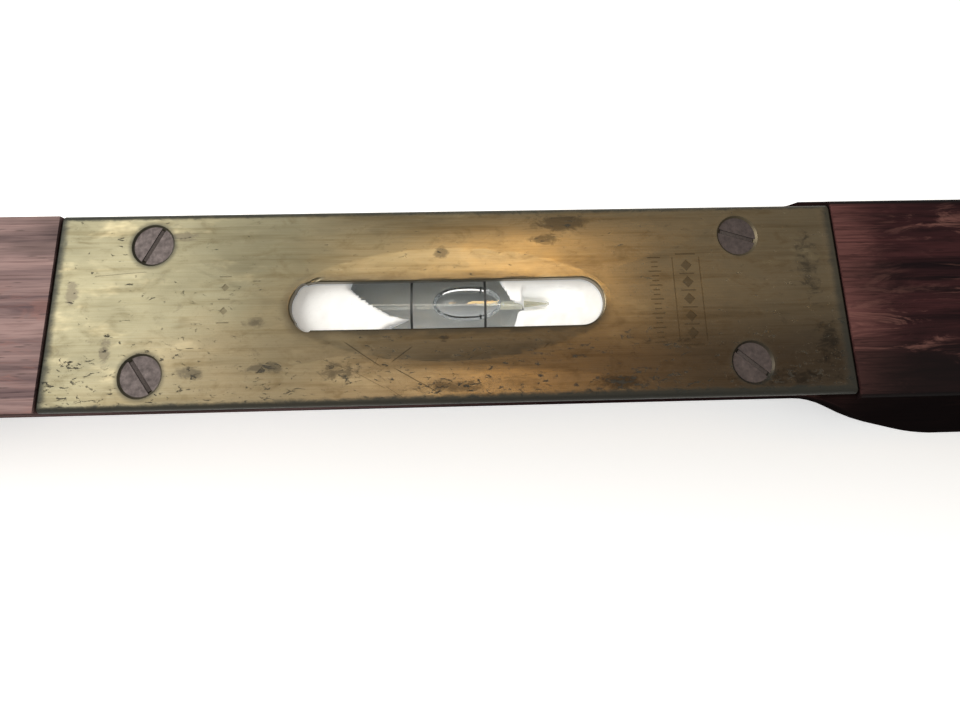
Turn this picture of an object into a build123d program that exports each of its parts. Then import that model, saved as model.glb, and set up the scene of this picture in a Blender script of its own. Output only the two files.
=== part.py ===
from build123d import *

import math
import os

# A joiner's wooden spirit level with a plumb vial, in millimetres.
# X runs along the stock, Y across it, Z up. The origin is the middle of the base face.
# The level vial lies under a brass plate let into the top, and the plumb vial stands
# across a round window near the +X end. Front means the -Y side, rear the +Y side.

os.makedirs("parts", exist_ok=True)

# ---- stock ----
stock_length = 610.0
stock_height = 76.0
stock_width = 51.0  # across the upright lower part of the sides
top_width = 36.0  # across the top face
shoulder_drop = 28.0  # how far below the top face the sloping shoulder ends
base_corner_radius = 1.5
top_corner_radius = 1.2
end_chamfer = 0.8

# ---- waist: both sides are cut back to the top plate's edges beside the level vial ----
waist_width = 34.8
waist_left = -124.0  # where the narrow part ends at the top face, towards -X
waist_right = 59.4
runout_lean = 0.45  # the ends lean outwards by this much for each unit down
runout_angle = 30.0  # steepest angle of the ogee between waist and full width
runout_hollow_share = 0.3  # share of the ogee that is hollow, the rest is round
runout_overshoot = 0.05  # the ogee ends this far outside the face, so that it cuts cleanly

# ---- top plate ----
plate_length = 143.8
plate_width = 35.0
plate_thickness = 2.0
plate_sink = 0.3  # below the wood's top face
plate_end_gap = 0.25
plate_edge_radius = 1.1
plate_end_chamfer = 0.35
sight_x = -1.05  # the slot and the vial lie this far from the plate's middle
slot_length = 57.0
slot_width = 8.6
slot_edge_radius = 0.3
dish_depth = 0.9  # the plate is pressed down round the sight slot
dish_half_length = 30.0
dish_half_width = 10.3
dish_relief = 0.15  # room between the pressed plate and the wood

# ---- wood screws ----
head_half_angle = 41.0
thread_pitch = 1.4
thread_depth = 0.45
screw_bedding = 0.02  # between a screw and what it sits in
plate_screw_head = 3.5  # radius
plate_screw_shank = 2.0  # radius
plate_screw_length = 19.0
plate_screw_sink = 0.4
plate_screw_x = 54.1
plate_screw_shift = -0.7  # all four sit a little to the left
plate_screw_y = 11.65
plate_screw_turns = {(-1, 1): 63.0, (-1, -1): -54.0, (1, 1): -17.0, (1, -1): -40.0}
screw_slot_width = 0.8
screw_slot_depth = 0.9

# ---- level vial ----
vial_radius = 6.5
vial_left = 20.0  # from the reading lines' middle to the glass's left end
vial_right = 14.0  # and to its right end, where it was sealed
vial_side = 1.0  # it was set this far to the rear of the slot's middle
vial_wall = 1.5
vial_end_wall = 1.6
vial_end_radius = 3.6
nib_length = 5.6
nib_root_radius = 1.2
nib_tip_radius = 0.35
barrel_rise = 0.2  # the bore is this much wider at the lines' middle than at its far end
vial_under_plate = 0.5  # from the pressed plate down to the glass
spirit_gap = 0.02
line_spacing = 13.7
line_width = 0.45
line_thickness = 0.12
line_bed_clearance = 0.3

# ---- level bubble ----
bubble_length = 13.0
bubble_radius = 2.75
bubble_clearance = 0.1
bubble_top_clearance = 0.1  # to the narrow end of the bore
bubble_rest = 3.5  # from the reading lines' middle

# ---- vial seat in the stock, its plaster and the side views ----
seat_length = 64.0
seat_width = 19.0
seat_under_vial = 5.0
bed_below_axis = 4.0
bedding_gap = 0.02
cap_below_plate = 0.3
left_cap_foot = 7.2  # where the plaster over the glass's left end runs out on the bed
left_cap_crest = 15.5  # where it is full height
right_cap_foot = 9.7
right_cap_shelf = (14.5, 19.5)  # the plaster at the sealed end is only this high under the nib
right_cap_crest = 24.0
side_view_length = 38.0
side_view_height = 8.0
side_view_flare = 1.6

# ---- plumb vial and its window ----
plumb_x = 225.0
plumb_z = 25.5
window_radius = 13.0
plumb_vial_radius = 5.5
plumb_vial_length = 33.0
plumb_end_wall = 2.5
plumb_line_spacing = 9.0
plumb_bubble_length = 8.6
plumb_bubble_radius = 3.1
plumb_seat_margin = 0.9  # groove beside and beyond the plumb glass
ring_radius = 21.0
ring_hole_radius = 12.4
ring_thickness = 1.6
ring_edge_gap = 0.15
ring_inner_chamfer = 0.8
ring_screw_circle = 17.0
ring_screw_head = 2.7
ring_screw_shank = 1.4
ring_screw_length = 12.5
ring_screw_sink = 0.15
ring_screw_slot_width = 0.75
ring_screw_slot_depth = 0.6
ring_screw_turns = (25.0, 80.0, -35.0, 10.0)

# ---- worked out from the sizes above ----
half_width = stock_width / 2
waist_half = waist_width / 2
top_half = top_width / 2
plate_top = stock_height - plate_sink
rebate_floor = plate_top - plate_thickness
vial_axis_z = rebate_floor - dish_depth - vial_under_plate - vial_radius
bed_top = vial_axis_z - bed_below_axis
seat_floor = vial_axis_z - vial_radius - seat_under_vial
cap_top = rebate_floor - dish_depth - cap_below_plate
bore_radius = vial_radius - vial_wall
bore_low = vial_end_wall - vial_left
bore_high = vial_right - vial_end_wall
bubble_rise = bore_radius - barrel_rise - bubble_top_clearance - bubble_radius
plumb_bore_radius = plumb_vial_radius - vial_wall
plumb_bore_half = plumb_vial_length / 2 - plumb_end_wall
dish_ring = (dish_half_width**2 / dish_depth + dish_depth) / 2  # radius at the dish's middle
dish_centre_z = plate_top + dish_ring - dish_depth
cut_past = 5.0  # how far a cutter runs past what it cuts


def box_between(low, high):
    """A block between two corners."""
    size = [b - a for a, b in zip(low, high)]
    middle = [(a + b) / 2 for a, b in zip(low, high)]
    return Pos(*middle) * Box(*size)


def upright(radius, height):
    """A cylinder that stands on the XY plane."""
    return Cylinder(radius, height, align=(Align.CENTER, Align.CENTER, Align.MIN))


def revolved(points, axis=Axis.Z):
    """A closed outline of (radius, height) points in the XZ plane, turned about the axis."""
    outline = Polyline(*[(r, 0, z) for r, z in points], close=True)
    return revolve(make_face(outline), axis, 360)


# ---- screws ----
def screw_outline(head, shank, length, clearance=0.0, above=0.0):
    """Half the outline of a countersunk screw with its head's face at Z 0, point down.
    With clearance it is the plain hole for the screw, opened upwards by above."""
    spread = math.tan(math.radians(head_half_angle))
    head_height = (head - shank) / spread
    plain = length * 0.4
    points = [(0, above), (head + clearance + above * spread, above)]
    points += [(shank + clearance, -head_height), (shank + clearance, -plain)]
    turns = int((length - plain) / thread_pitch)
    if clearance:
        points += [(shank + clearance, -plain - (turns - 2) * thread_pitch)]
        return points + [(0, -length - clearance * 4)]
    for turn in range(turns - 2):
        z = -plain - turn * thread_pitch
        root = shank - thread_depth
        points += [(root, z - 0.35 * thread_pitch), (shank, z - thread_pitch)]
    return points + [(0, -length)]


def wood_screw(head, shank, length, slot_width, slot_depth, turn):
    """A slotted countersunk wood screw, its slot turned about Z."""
    body = revolved(screw_outline(head, shank, length))
    slot = box_between((-2 * head, -slot_width / 2, -slot_depth), (2 * head, slot_width / 2, 1))
    return body - Rot(0, 0, turn) * slot


def screw_hole(head, shank, length, above):
    return revolved(screw_outline(head, shank, length, screw_bedding, above))


def plate_screw_places():
    """Where each top plate screw's head lies, with its slot's turn."""
    z = plate_top - plate_screw_sink
    for (sx, sy), turn in plate_screw_turns.items():
        yield Pos(sx * plate_screw_x + plate_screw_shift, sy * plate_screw_y, z), turn


def ring_screw_places(side):
    """Where each plumb plate screw's head lies on the front (-1) or rear (1) face."""
    face = side * (half_width - ring_screw_sink)
    for number, turn in enumerate(ring_screw_turns):
        angle = math.radians(45 + 90 * number)
        x = plumb_x + ring_screw_circle * math.cos(angle)
        z = plumb_z + ring_screw_circle * math.sin(angle)
        yield Pos(x, face, z) * Rot(-90 * side, 0, 0), turn


# ---- stock ----
def section():
    """The stock's cross-section in the YZ plane: upright sides under sloping shoulders."""
    shoulder_z = stock_height - shoulder_drop
    outline = Polyline(
        (0, -half_width, 0),
        (0, half_width, 0),
        (0, half_width, shoulder_z),
        (0, top_half, stock_height),
        (0, -top_half, stock_height),
        (0, -half_width, shoulder_z),
        close=True,
    )
    face = make_face(outline)
    base = [v for v in face.vertices() if v.Z < 1]
    face = fillet(base, base_corner_radius)
    top = [v for v in face.vertices() if v.Z > stock_height - 1]
    return fillet(top, top_corner_radius)


def waist_plan(z):
    """The waist's cut at one height: straight beside the wall, with an ogee at each end."""
    wall = waist_half
    rise = half_width + runout_overshoot - waist_half
    both = rise / (1 - math.cos(math.radians(runout_angle)))
    hollow = both * runout_hollow_share
    outer = half_width + cut_past
    lean = runout_lean * (stock_height - z)
    right, left = waist_right + lean, waist_left - lean
    lines = []
    for x, way in ((right, 1), (left, -1)):
        bend = JernArc((x, wall), (way, 0), hollow, way * runout_angle)
        crown = JernArc(bend @ 1, bend % 1, both - hollow, -way * runout_angle)
        lines += [bend, crown, Line(crown @ 1, ((crown @ 1).X, outer))]
    lines += [Line((left, wall), (right, wall)), Line(lines[2] @ 1, lines[5] @ 1)]
    return Pos(0, 0, z) * make_face(Wire(lines))


def waist_cut(side):
    """What is cut away on one side, from below the base to above the top."""
    cut = loft([waist_plan(-cut_past), waist_plan(stock_height + cut_past)], ruled=True)
    return cut if side > 0 else mirror(cut, Plane.XZ)


def dish(extra):
    """The barrel that presses the dish, grown by extra. Its axis lies along X above the plate."""
    half = dish_half_length
    ends = dish_ring - dish_depth + extra
    arc = ThreePointArc((-half, 0, -ends), (0, 0, -dish_ring - extra), (half, 0, -ends))
    sides = [Line(arc @ 1, (half, 0, 0)), Line((half, 0, 0), (-half, 0, 0)), Line((-half, 0, 0), arc @ 0)]
    roller = revolve(make_face(Wire([arc, *sides])), Axis.X, 360)
    return Pos(sight_x, 0, dish_centre_z) * roller


def below(z, solid):
    """The part of a solid that lies under height z."""
    reach = 200.0
    return solid & box_between((-reach, -reach, z - reach), (reach, reach, z))


def side_view(side):
    """One sight window through the waist wall, flared at the outer face."""
    flare = 2 * side_view_flare
    opening = SlotOverall(side_view_length, side_view_height)
    wide = SlotOverall(side_view_length + flare, side_view_height + flare)
    start = Plane(origin=(sight_x, 0, vial_axis_z), x_dir=(1, 0, 0), z_dir=(0, side, 0))
    through = extrude(start * opening, waist_half + cut_past)
    inner = start.offset(waist_half - side_view_flare)
    outer = start.offset(waist_half + 0.001)
    return through + loft([inner * opening, outer * wide])


def plumb_groove(clearance=0.0):
    """The groove for the plumb glass, open to the rear and closed by the rear plate."""
    radius = plumb_vial_radius + plumb_seat_margin - clearance
    half = plumb_vial_length / 2 + plumb_seat_margin - clearance
    low, high = plumb_z - half, plumb_z + half
    back = half_width - ring_thickness - clearance
    slot = box_between((-radius, 0, low), (radius, back, high))
    return Pos(plumb_x, 0, 0) * (slot + Pos(0, 0, low) * upright(radius, high - low))


def ring_seat(side):
    """The floor of the round recess on one side, facing outwards."""
    return Pos(plumb_x, side * (half_width - ring_thickness), plumb_z) * Rot(-90 * side, 0, 0)


def window():
    return Pos(plumb_x, 0, plumb_z) * Rot(90, 0, 0) * Cylinder(window_radius, stock_width + 2 * cut_past)


def make_stock():
    body = extrude(section(), stock_length / 2, dir=(1, 0, 0), both=True)
    ends = body.faces().sort_by(Axis.X)
    body = chamfer([*ends[0].edges(), *ends[-1].edges()], end_chamfer)
    for side in (-1, 1):
        body -= waist_cut(side)
    rebate = plate_length / 2 + plate_end_gap
    body -= box_between((-rebate, -half_width, rebate_floor), (rebate, half_width, stock_height + cut_past))
    body -= below(rebate_floor + 0.5, dish(plate_thickness + dish_relief))
    seat = extrude(SlotOverall(seat_length, seat_width), rebate_floor + cut_past - seat_floor)
    body -= Pos(sight_x, 0, seat_floor) * seat
    for side in (-1, 1):
        body -= side_view(side)
    for place, _ in plate_screw_places():
        body -= place * screw_hole(plate_screw_head, plate_screw_shank, plate_screw_length, cut_past)
    body -= window()
    body -= plumb_groove()
    for side in (-1, 1):
        body -= ring_seat(side) * upright(ring_radius + ring_edge_gap, ring_thickness + cut_past)
        for place, _ in ring_screw_places(side):
            body -= place * screw_hole(ring_screw_head, ring_screw_shank, ring_screw_length, cut_past)
    return body


# ---- brass ----
def make_top_plate():
    x, y = plate_length / 2, plate_width / 2
    plate = box_between((-x, -y, rebate_floor), (x, y, plate_top))
    top = plate.faces().sort_by(Axis.Z)[-1].edges()
    plate = fillet(top.filter_by(Axis.X), plate_edge_radius)
    top = plate.faces().sort_by(Axis.Z)[-1].edges()
    plate = chamfer(top.filter_by(Axis.Y), plate_end_chamfer)
    plate -= dish(0)
    plate += below(rebate_floor, dish(plate_thickness)) - dish(0)
    slot = extrude(SlotOverall(slot_length, slot_width), 4 * cut_past)
    plate -= Pos(sight_x, 0, plate_top - 2 * cut_past) * slot
    near_slot = [e for e in plate.edges() if abs(e.center().X - sight_x) < slot_length / 2 + 1]
    rim = [e for e in near_slot if abs(e.center().Y) < slot_width / 2 + 1]
    upper = [e for e in rim if e.center().Z > plate_top - dish_depth - slot_edge_radius]
    plate = fillet(upper, slot_edge_radius)
    for place, _ in plate_screw_places():
        plate -= place * screw_hole(plate_screw_head, plate_screw_shank, plate_screw_length, cut_past)
    return plate


def make_plate_screws():
    shape = (plate_screw_head, plate_screw_shank, plate_screw_length)
    slot = (screw_slot_width, screw_slot_depth)
    return [place * wood_screw(*shape, *slot, turn) for place, turn in plate_screw_places()]


def make_ring_plate(side):
    """A round plumb plate let in flush with one side face."""
    ring = upright(ring_radius, ring_thickness) - Cylinder(ring_hole_radius, 3 * ring_thickness)
    mouth = [e for e in ring.edges() if e.center().Z > ring_thickness / 2 and e.radius < ring_hole_radius + 1]
    ring = chamfer(mouth, ring_inner_chamfer)
    ring = ring_seat(side) * ring
    for place, _ in ring_screw_places(side):
        ring -= place * screw_hole(ring_screw_head, ring_screw_shank, ring_screw_length, cut_past)
    return ring


def make_ring_screws(side):
    shape = (ring_screw_head, ring_screw_shank, ring_screw_length)
    slot = (ring_screw_slot_width, ring_screw_slot_depth)
    return [place * wood_screw(*shape, *slot, turn) for place, turn in ring_screw_places(side)]


# ---- vials, built along Z about the origin and then laid in place ----
def glass_outside(radius, low, high, nib=0.0):
    """The sealed tube's outside: round ends, and a drawn nib where it was sealed."""
    body = Pos(0, 0, low) * upright(radius, high - low)
    body = fillet(body.edges(), vial_end_radius)
    if nib:
        root = high - 0.4
        top = high + nib - nib_tip_radius
        bottom_up = (Align.CENTER, Align.CENTER, Align.MIN)
        body += Pos(0, 0, root) * Cone(nib_root_radius, nib_tip_radius, top - root, align=bottom_up)
        body += Pos(0, 0, top) * Sphere(nib_tip_radius)
    return body


def barrel(radius, low, high):
    """A bore that is widest at Z 0, so that the bubble seeks the reading lines."""
    far = max(-low, high)
    foot = radius - barrel_rise * (low / far) ** 2
    head = radius - barrel_rise * (high / far) ** 2
    wall = ThreePointArc((foot, 0, low), (radius, 0, 0), (head, 0, high))
    sides = [Line(wall @ 1, (0, 0, high)), Line((0, 0, high), (0, 0, low)), Line((0, 0, low), wall @ 0)]
    return revolve(make_face(Wire([wall, *sides])), Axis.Z, 360)


def reading_lines(radius, spacing):
    """Two thin bands round the glass."""
    bands = []
    for way in (-1, 1):
        band = Cylinder(radius + line_thickness, line_width) - Cylinder(radius, 2 * line_width)
        bands.append(Pos(0, 0, way * spacing / 2) * band)
    return bands


def pill(radius, length):
    """A bubble: a cylinder with round ends, along Z."""
    return fillet(Cylinder(radius, length).edges(), radius - 0.001)


level_place = Pos(sight_x, vial_side, vial_axis_z) * Rot(0, 90, 0)  # the vial's +Z end goes to +X
plumb_place = Pos(plumb_x, 0, plumb_z)


def make_level_glass():
    outside = glass_outside(vial_radius, -vial_left, vial_right, nib_length)
    return level_place * (outside - barrel(bore_radius, bore_low, bore_high))


def make_level_spirit():
    """Spirit with the channel along its top that the bubble runs in."""
    low, high = bore_low + bubble_clearance, bore_high - bubble_clearance
    radius = bubble_radius + bubble_clearance
    fill = Rot(0, 90, 0) * barrel(bore_radius - spirit_gap, bore_low + spirit_gap, bore_high - spirit_gap)
    run = box_between((low, -radius, bubble_rise), (high, radius, vial_radius))
    run += Pos(low, 0, bubble_rise) * Rot(0, 90, 0) * upright(radius, high - low)
    return Pos(sight_x, vial_side, vial_axis_z) * (fill - run)


def make_level_bubble():
    bubble = Pos(bubble_rest, 0, bubble_rise) * Rot(0, 90, 0) * pill(bubble_radius, bubble_length)
    return Pos(sight_x, vial_side, vial_axis_z) * bubble


def make_level_lines():
    low = bed_top + line_bed_clearance
    above = box_between((-seat_length, -half_width, low), (seat_length, half_width, stock_height))
    return [(level_place * band) & above for band in reading_lines(vial_radius, line_spacing)]


def seat_block(low, high):
    """The seat's plan shape between two heights, a hair inside the wood."""
    plan = SlotOverall(seat_length - 2 * bedding_gap, seat_width - 2 * bedding_gap)
    return Pos(sight_x, 0, low) * extrude(plan, high - low)


def vial_room():
    radius = vial_radius + bedding_gap
    return level_place * glass_outside(radius, -vial_left - bedding_gap, vial_right + bedding_gap, nib_length)


def make_plaster_bed():
    return seat_block(seat_floor + bedding_gap, bed_top) - vial_room()


def make_plaster_cap(profile):
    """The plaster over one end of the glass, heaped on the bed to a profile of (x, z)."""
    outline = Polyline(*[(sight_x + x, 0, z) for x, z in profile], close=True)
    wedge = extrude(make_face(outline), seat_width, dir=(0, 1, 0), both=True)
    heap = seat_block(bed_top + bedding_gap, cap_top) & wedge
    return heap - vial_room()


def make_left_plaster():
    crest = [(-left_cap_crest, cap_top), (-seat_length, cap_top)]
    return make_plaster_cap([(-left_cap_foot, bed_top), *crest, (-seat_length, bed_top)])


def make_right_plaster():
    shelf = [(x, vial_axis_z) for x in right_cap_shelf]
    crest = [(right_cap_crest, cap_top), (seat_length, cap_top)]
    return make_plaster_cap([(right_cap_foot, bed_top), *shelf, *crest, (seat_length, bed_top)])


def make_plumb_glass():
    half = plumb_vial_length / 2
    outside = glass_outside(plumb_vial_radius, -half, half)
    return plumb_place * (outside - barrel(plumb_bore_radius, -plumb_bore_half, plumb_bore_half))


def make_plumb_lines():
    return [plumb_place * band for band in reading_lines(plumb_vial_radius, plumb_line_spacing)]


def make_plumb_spirit():
    half = plumb_bore_half - spirit_gap
    fill = barrel(plumb_bore_radius - spirit_gap, -half, half)
    run = Cylinder(plumb_bubble_radius + bubble_clearance, 2 * (plumb_bore_half - bubble_clearance))
    return plumb_place * (fill - run)


def make_plumb_bubble():
    top = plumb_z + plumb_bore_half - 2 * bubble_clearance
    return Pos(plumb_x, 0, top - plumb_bubble_length / 2) * pill(plumb_bubble_radius, plumb_bubble_length)


def make_plumb_plaster(way):
    """The plaster in the groove above (1) or below (-1) the window."""
    half = plumb_vial_length / 2 + bedding_gap
    room = plumb_place * glass_outside(plumb_vial_radius + bedding_gap, -half, half)
    fill = plumb_groove(bedding_gap) - window()
    beyond = Pos(plumb_x, 0, plumb_z + way * stock_height / 2) * Box(stock_width, stock_width, stock_height)
    return (fill & beyond) - room


def write(name, shapes):
    """One STEP for a node, holding each of its solids."""
    solids = [s for shape in (shapes if isinstance(shapes, list) else [shapes]) for s in shape.solids()]
    export_step(solids[0] if len(solids) == 1 else Compound(children=solids), f"parts/{name}.step")


write("stock", make_stock())
write("top_plate", make_top_plate())
write("top_plate_screws", make_plate_screws())
write("level_vial_glass", make_level_glass())
write("level_reading_lines", make_level_lines())
write("level_spirit", make_level_spirit())
write("level_bubble", make_level_bubble())
write("level_plaster_bed", make_plaster_bed())
write("level_plaster_left", make_left_plaster())
write("level_plaster_right", make_right_plaster())
write("plumb_vial_glass", make_plumb_glass())
write("plumb_reading_lines", make_plumb_lines())
write("plumb_spirit", make_plumb_spirit())
write("plumb_bubble", make_plumb_bubble())
write("plumb_plaster_upper", make_plumb_plaster(1))
write("plumb_plaster_lower", make_plumb_plaster(-1))
write("front_plumb_plate", make_ring_plate(-1))
write("rear_plumb_plate", make_ring_plate(1))
write("front_plumb_screws", make_ring_screws(-1))
write("rear_plumb_screws", make_ring_screws(1))
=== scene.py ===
import math

import bmesh
import bpy
from mathutils import Matrix, Vector, noise


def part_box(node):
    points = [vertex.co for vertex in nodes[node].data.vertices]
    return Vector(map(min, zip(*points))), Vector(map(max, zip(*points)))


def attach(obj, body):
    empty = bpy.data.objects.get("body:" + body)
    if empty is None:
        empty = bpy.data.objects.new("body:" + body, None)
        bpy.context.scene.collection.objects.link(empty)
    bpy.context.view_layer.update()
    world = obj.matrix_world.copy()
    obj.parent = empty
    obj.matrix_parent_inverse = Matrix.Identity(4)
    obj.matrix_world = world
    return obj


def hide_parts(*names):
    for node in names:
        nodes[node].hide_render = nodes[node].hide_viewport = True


# Looks for the spirit level: brass, wood, glass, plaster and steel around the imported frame.
# Everything is in metres, X along the stock, Z up.

mm = 0.001
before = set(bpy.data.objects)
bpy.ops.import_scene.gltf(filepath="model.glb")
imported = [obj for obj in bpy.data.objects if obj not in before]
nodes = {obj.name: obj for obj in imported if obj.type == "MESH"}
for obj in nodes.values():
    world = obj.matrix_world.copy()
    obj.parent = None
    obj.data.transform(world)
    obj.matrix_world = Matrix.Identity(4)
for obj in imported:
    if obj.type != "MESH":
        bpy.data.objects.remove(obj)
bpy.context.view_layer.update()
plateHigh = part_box("top_plate")[1]
glassLow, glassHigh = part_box("level_vial_glass")
linesLow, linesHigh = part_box("level_reading_lines")
bubbleLow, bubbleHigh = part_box("level_bubble")
plateTop = plateHigh.z
vialAxis = (glassLow.z + glassHigh.z) / 2
vialSide = (glassLow.y + glassHigh.y) / 2
linesMiddle = (linesLow.x + linesHigh.x) / 2
print("frame loaded, plate top at", round(plateTop / mm, 2), "mm")

screwsLow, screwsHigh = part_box("top_plate_screws")
screwRadius = 3.5 * mm
screwPlaces = [(x, y) for x in (screwsLow.x + screwRadius, screwsHigh.x - screwRadius)
               for y in (screwsLow.y + screwRadius, screwsHigh.y - screwRadius)]


# a few short words for wiring one material's nodes
class Shade:
    def __init__(self, name):
        self.material = bpy.data.materials.new(name)
        self.material.use_nodes = True
        self.tree = self.material.node_tree
        self.surface = self.tree.nodes["Principled BSDF"]
        self.coords = self.tree.nodes.new("ShaderNodeTexCoord").outputs["Object"]

    def add(self, kind, **inputs):
        node = self.tree.nodes.new(kind)
        for key, value in inputs.items():
            self.put(node.inputs[key.replace("_", " ")], value)
        return node

    def put(self, socket, value):
        if isinstance(value, bpy.types.NodeSocket):
            self.tree.links.new(value, socket)
        else:
            socket.default_value = value

    def place(self, scale=(1, 1, 1), shift=(0, 0, 0), turn=(0, 0, 0)):
        node = self.add("ShaderNodeMapping", Vector=self.coords, Scale=scale, Location=shift, Rotation=turn)
        return node.outputs["Vector"]

    # features about size metres, longer along an axis with a small stretch
    def noise(self, size, detail=3.0, rough=0.55, stretch=(1, 1, 1), shift=(0, 0, 0), turn=(0, 0, 0), warp=0.0):
        where = self.place(stretch, shift, turn)
        node = self.add("ShaderNodeTexNoise", Vector=where, Scale=1 / size, Detail=detail, Roughness=rough)
        node.inputs["Distortion"].default_value = warp
        return node.outputs["Fac"]

    def cells(self, size, stretch=(1, 1, 1), shift=(0, 0, 0), turn=(0, 0, 0), feature="F1"):
        where = self.place(stretch, shift, turn)
        node = self.add("ShaderNodeTexVoronoi", Vector=where, Scale=1 / size)
        node.feature = feature
        return node.outputs["Distance"]

    # value through stops of (position, grey) or (position, (r, g, b))
    def ramp(self, value, *stops):
        node = self.add("ShaderNodeValToRGB", Fac=value)
        points = node.color_ramp.elements
        while len(points) < len(stops):
            points.new(0.5)
        for point, (at, colour) in zip(points, stops):
            point.position = at
            grey = (colour,) * 3 if isinstance(colour, (int, float)) else colour
            point.color = (*grey, 1)
        return node.outputs["Color"]

    def math(self, how, *values):
        node = self.tree.nodes.new("ShaderNodeMath")
        node.operation = how
        for socket, value in zip(node.inputs, values):
            self.put(socket, value)
        return node.outputs[0]

    def length(self, vector):
        node = self.tree.nodes.new("ShaderNodeVectorMath")
        node.operation = "LENGTH"
        self.put(node.inputs[0], vector)
        return node.outputs["Value"]

    def mix(self, amount, a, b, how="MIX"):
        node = self.tree.nodes.new("ShaderNodeMix")
        node.data_type = "RGBA"
        node.blend_type = how
        for name, value in (("Factor", amount), ("A", a), ("B", b)):
            sockets = [s for s in node.inputs if s.name == name and s.enabled]
            if isinstance(value, tuple) and len(value) == 3:
                value = (*value, 1)
            self.put(sockets[0], value)
        return [s for s in node.outputs if s.enabled][0]

    def axis(self, name):
        return self.add("ShaderNodeSeparateXYZ", Vector=self.coords).outputs[name]

    # 0 below low, 1 above high
    def between(self, value, low, high):
        node = self.add("ShaderNodeMapRange", Value=value)
        node.interpolation_type = "SMOOTHSTEP"
        node.inputs["From Min"].default_value = low
        node.inputs["From Max"].default_value = high
        return node.outputs["Result"]

    def bump(self, height, depth, strength=1.0):
        node = self.add("ShaderNodeBump", Height=height, Strength=strength, Distance=depth)
        normal = self.surface.inputs["Normal"]
        if normal.is_linked:
            self.tree.links.new(normal.links[0].from_socket, node.inputs["Normal"])
        self.put(normal, node.outputs["Normal"])

    def set(self, **values):
        for key, value in values.items():
            socket = self.surface.inputs[key.replace("_", " ")]
            if isinstance(value, tuple) and len(value) == 3 and socket.type == "RGBA":
                value = (*value, 1)
            self.put(socket, value)
        return self.material


oldBrass = {
    "sightMiddle": -1.05 * mm,
    "sightHalf": 24.2 * mm,  # to where the slot's round ends begin
    "end": (0.125, 0.115, 0.076),
    "pale": (0.205, 0.186, 0.122),
    "yellow": (0.325, 0.258, 0.155),
    "brown": (0.300, 0.232, 0.142),
    "tarnish": (0.045, 0.042, 0.034),
    "verdigrisAndShade": (0.032, 0.035, 0.031),
    "roughness": 0.32,
    # fine scratches: middle x, middle y and length in mm, turn in degrees
    "scratches": (
        (-16.4, -8.6, 8.8, -33),
        (-6.5, -13.6, 10.5, -30),
        (-9.4, -8.8, 5.0, 36),
    ),
    # old stains on the top plate: x, y, half length, half width in mm, strength
    "stains": (
        (-49.4, 13.2, 3.2, 1.0, 1.0),
        (-68.3, 3.2, 1.5, 2.4, 1.0),
        (-61.3, -7.2, 1.3, 3.2, 0.95),
        (-46.5, -11.4, 3.6, 1.4, 0.9),
        (-35.8, -2.6, 2.4, 1.2, 0.8),
        (-33.5, -10.6, 4.0, 1.2, 0.85),
        (-20.0, -11.6, 6.0, 2.0, 0.6),
        (-1.9, -6.3, 1.1, 0.8, 0.9),
        (-2.4, 9.4, 1.7, 1.3, 1.0),
        (20.0, 14.8, 6.0, 1.9, 0.95),
        (17.0, 11.6, 3.6, 1.3, 0.85),
        (0.0, -14.6, 9.0, 1.3, 0.8),
        (29.0, -14.4, 5.5, 1.6, 0.9),
        (40.0, -8.0, 14.0, 1.4, 0.4),
        (66.0, 6.0, 3.0, 9.0, 0.5),
        (68.0, -9.0, 3.5, 7.0, 0.5),
        (60.0, -14.5, 11.0, 2.6, 0.55),
    ),
}


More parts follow.
